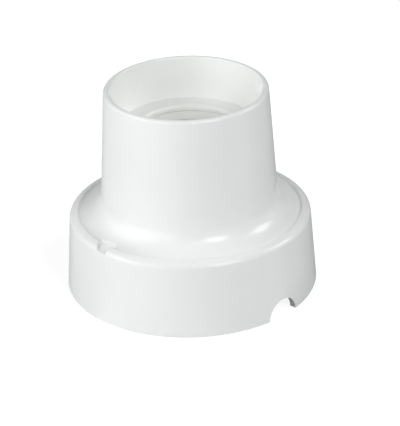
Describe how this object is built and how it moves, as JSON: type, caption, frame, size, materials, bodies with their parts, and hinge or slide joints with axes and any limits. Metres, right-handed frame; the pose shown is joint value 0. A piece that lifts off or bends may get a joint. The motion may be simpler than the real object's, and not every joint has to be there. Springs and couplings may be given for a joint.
{
  "type": "surface mount lamp holder",
  "caption": "Straight screw lamp holder for surfaces: tapered white cover with a deep mouth over a wall base with contacts, clamp terminals and side cable entry.",
  "frame": {"origin": "centre of the wall face, at the middle of the round base", "axes": "+Z along the lamp's axis away from the wall, +X through the cable arch, -Y through the notch in the shoulder"},
  "size_m": [0.0746, 0.075, 0.0621],
  "materials": {
    "white_moulding": "glossy white moulding, faintly warm in the shade",
    "base_moulding": "white moulding, satin",
    "sleeve_moulding": "white heat-proof moulding, satin",
    "brass_strip": "rolled brass strip",
    "bronze_leaf": "rolled spring bronze",
    "rivet_brass": "turned brass",
    "plated_clamp": "zinc plated, pressed",
    "plated_screw": "zinc plated, turned"
  },
  "bodies": {
    "base": {"base": "base_moulding", "lamp_sleeve": "sleeve_moulding", "sleeve_screws": "plated_screw", "live_strip": "brass_strip", "neutral_strip": "brass_strip", "leaf_rivet": "rivet_brass"},
    "cover": {"cover": "white_moulding"},
    "live_clamp": {"live_clamp": "plated_clamp"},
    "live_screw": {"live_screw": "plated_screw"},
    "neutral_clamp": {"neutral_clamp": "plated_clamp"},
    "neutral_screw": {"neutral_screw": "plated_screw"},
    "centre_leaf": {"centre_leaf": "bronze_leaf"}
  },
  "joints": [
    {"name": "cover_lift", "type": "slide", "parent": "base", "child": "cover", "axis": [0, 0, 1], "range_m": [0, 0.055]},
    {"name": "live_clamp_travel", "type": "slide", "parent": "base", "child": "live_clamp", "axis": [0, 0, 1], "range_m": [0, 0.0024]},
    {"name": "live_screw_turn", "type": "hinge", "parent": "live_clamp", "child": "live_screw", "pos_m": [-0.01814, 0.01522, 0.0138], "axis": [0, 0, 1], "range_deg": [0, 1440]},
    {"name": "neutral_clamp_travel", "type": "slide", "parent": "base", "child": "neutral_clamp", "axis": [0, 0, 1], "range_m": [0, 0.0024]},
    {"name": "neutral_screw_turn", "type": "hinge", "parent": "neutral_clamp", "child": "neutral_screw", "pos_m": [-0.01814, -0.01522, 0.0138], "axis": [0, 0, 1], "range_deg": [0, 1440]},
    {"name": "centre_leaf_press", "type": "hinge", "parent": "base", "child": "centre_leaf", "pos_m": [-0.00502, 0.00421, 0.02105], "axis": [0.6428, 0.766, 0], "range_deg": [0, 17], "stiffness_Nm_per_rad": 0.2, "deforming": ["centre_leaf"]}
  ],
  "couplings": [
    {"joint": "live_screw_turn", "follows": "live_clamp_travel", "rad_per_m": 10472},
    {"joint": "neutral_screw_turn", "follows": "neutral_clamp_travel", "rad_per_m": 10472}
  ]
}
